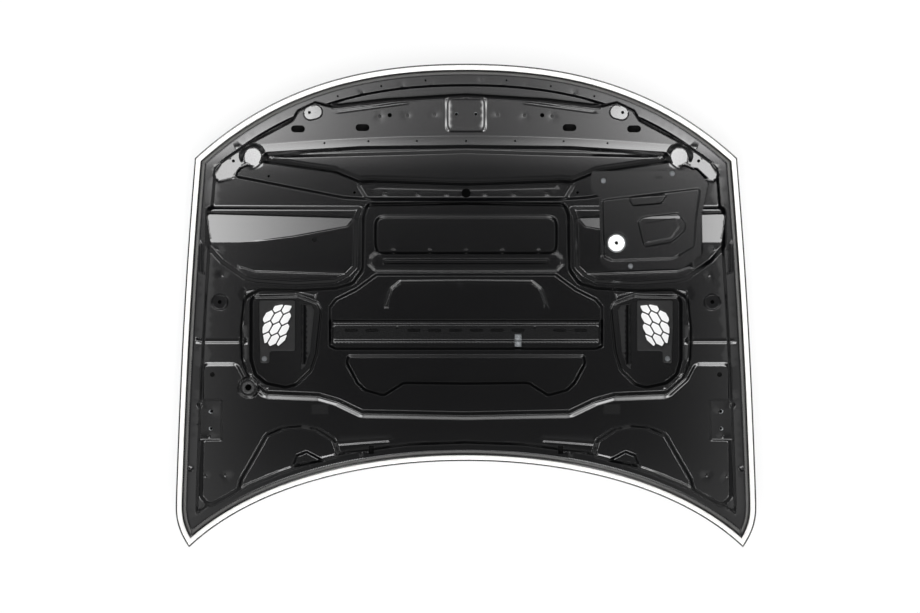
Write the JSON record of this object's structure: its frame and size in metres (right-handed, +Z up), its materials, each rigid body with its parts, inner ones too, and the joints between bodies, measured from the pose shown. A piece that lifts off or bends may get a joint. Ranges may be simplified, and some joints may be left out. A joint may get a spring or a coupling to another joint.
{
  "type": "car bonnet",
  "caption": "Car bonnet seen from its underside: crowned outer skin hemmed round a pressed inner panel with beams, pockets, vents and fittings.",
  "frame": {"origin": "centre of the bonnet's plan, at the lowest point of the outer skin that it lies on", "axes": "+X across the car, +Y towards the nose, +Z up out of the underside"},
  "size_m": [1.504, 1.254, 0.136],
  "materials": {
    "black_paint": "gloss",
    "black_coat": "satin",
    "black_plastic": "matt",
    "white_sealant": "satin",
    "zinc": "satin",
    "grey_mastic": "matt",
    "black_rubber": "matt"
  },
  "bodies": {
    "root": {"bracket_plate": "black_coat", "bracket_screw_1": "zinc", "bracket_screw_2": "zinc", "bracket_screw_3": "zinc", "bracket_standoff": "zinc", "hem_sealer": "white_sealant", "hinge_nut_left_1": "zinc", "hinge_nut_left_2": "zinc", "hinge_nut_right_1": "zinc", "hinge_nut_right_2": "zinc", "hinge_reinforcement_left": "zinc", "hinge_reinforcement_right": "zinc", "hose_grommet": "black_rubber", "inner_panel": "black_paint", "latch_doubler": "black_coat", "latch_reinforcement": "zinc", "mastic_front_left": "grey_mastic", "mastic_front_right": "grey_mastic", "mastic_middle_left": "grey_mastic", "mastic_middle_right": "grey_mastic", "mastic_pocket_left": "grey_mastic", "mastic_pocket_right": "grey_mastic", "mastic_rear_left": "grey_mastic", "mastic_rear_right": "grey_mastic", "outer_skin": "black_paint", "rear_plate_left": "black_coat", "rear_plate_right": "black_coat", "slotted_bar": "black_coat", "spring_clip": "zinc", "vent_baffle_left": "black_plastic", "vent_baffle_right": "black_plastic", "vent_grille_left": "black_plastic", "vent_grille_right": "black_plastic", "vent_screw_left": "zinc", "vent_screw_right": "zinc"}
  },
  "joints": []
}
